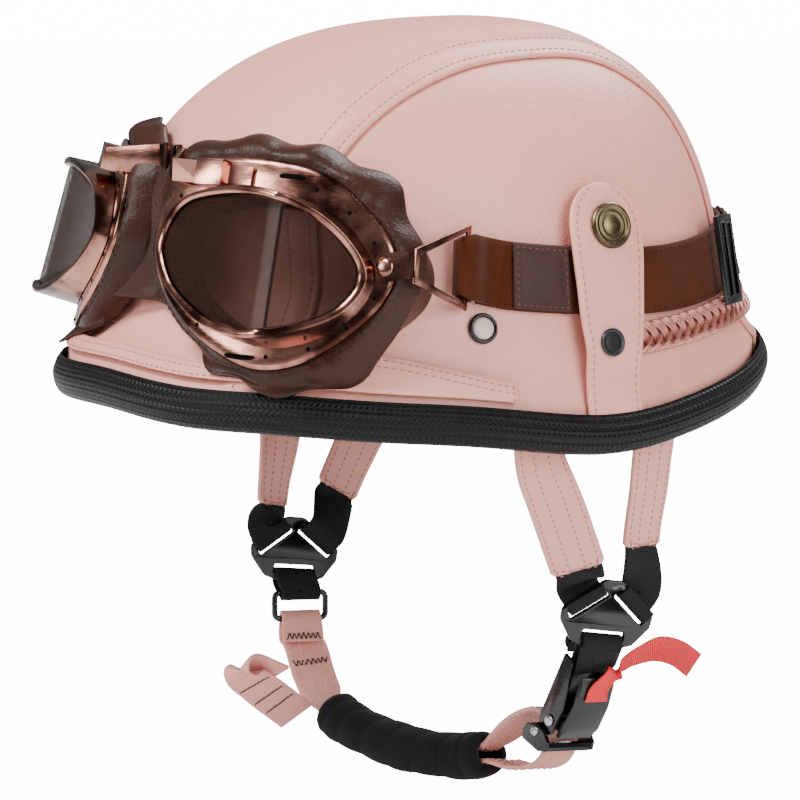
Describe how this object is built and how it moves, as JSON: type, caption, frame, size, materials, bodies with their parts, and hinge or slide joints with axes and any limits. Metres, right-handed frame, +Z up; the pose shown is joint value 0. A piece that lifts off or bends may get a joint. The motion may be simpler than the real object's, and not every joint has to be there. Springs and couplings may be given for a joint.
{
  "type": "motorcycle half helmet",
  "caption": "Leather-covered motorcycle half helmet with a flared brim, split-lens goggles on an elastic band and a chin harness with a ratchet buckle.",
  "frame": {"origin": "middle of the head opening, in the plane where the helmet sits on the head", "axes": "+Z up through the crown, -Y to the front of the helmet, +X to the wearer's left"},
  "size_m": [0.2358, 0.288, 0.3132],
  "materials": {
    "shell": "matt moulded plastic",
    "leather": "pale pink grained leather with pale stitching",
    "trim": "black woven rubber edge trim",
    "suede": "brown suede-faced elastic",
    "label": "bare dark brown leather patch",
    "braid": "glossy pink braided leather strands",
    "mask": "soft wrinkled dark brown leather",
    "copper": "antique copper with dark patina",
    "brass": "dark antique brass",
    "stud": "cream cap in a dark metal ring",
    "lens": "smoky brown clear lens",
    "webbing": "black woven webbing",
    "plastic": "black moulded plastic",
    "gunmetal": "glossy black coated steel",
    "foam": "black velour-covered foam",
    "ribbon": "red ribbed ribbon"
  },
  "bodies": {
    "helmet": {"shell": "shell", "centre_panel": "leather", "side_panel_left": "leather", "side_panel_right": "leather", "visor_panel": "leather", "edge_trim": "trim", "elastic_band": "suede", "braided_cord": "braid", "band_label": "label", "strap_tab_left": "leather", "snap_cap_left": "brass", "tab_rivet_left": "gunmetal", "side_stud_left": "stud", "strap_tab_right": "leather", "snap_cap_right": "brass", "tab_rivet_right": "gunmetal", "side_stud_right": "stud", "band_slider": "gunmetal", "band_tail": "suede", "goggle_frame_left": "copper", "goggle_bezel_left": "copper", "lens_inner_left": "lens", "lens_outer_left": "lens", "goggle_frame_right": "copper", "goggle_bezel_right": "copper", "lens_inner_right": "lens", "lens_outer_right": "lens", "goggle_mask": "mask", "bridge_link": "copper", "bridge_arm_left": "copper", "bridge_arm_right": "copper", "frame_lug_left": "copper", "strap_link_left": "copper", "band_loop_left": "suede", "frame_lug_right": "copper", "strap_link_right": "copper", "band_loop_right": "suede", "harness_yoke_left": "plastic", "harness_yoke_right": "plastic", "strap_front_left": "leather", "webbing_front_left": "webbing", "strap_rear_left": "leather", "webbing_rear_left": "webbing", "strap_front_right": "leather", "webbing_front_right": "webbing", "strap_rear_right": "leather", "webbing_rear_right": "webbing", "harness_ring": "gunmetal", "webbing_loop_right": "webbing", "chin_strap": "leather", "strap_tail": "leather", "chin_sleeve": "foam", "buckle_body": "gunmetal", "buckle_clamp": "gunmetal", "webbing_left": "webbing", "webbing_roll": "webbing"},
    "lever": {"buckle_lever": "plastic", "pull_ribbon": "ribbon"}
  },
  "joints": [
    {"name": "buckle_lever_pivot", "type": "hinge", "parent": "helmet", "child": "lever", "pos_m": [0.06399, 0.04203, -0.12405], "axis": [-0.0403, 0.995, -0.0916], "range_deg": [0, 38], "stiffness_Nm_per_rad": 0.05, "springref_deg": -11.46}
  ]
}
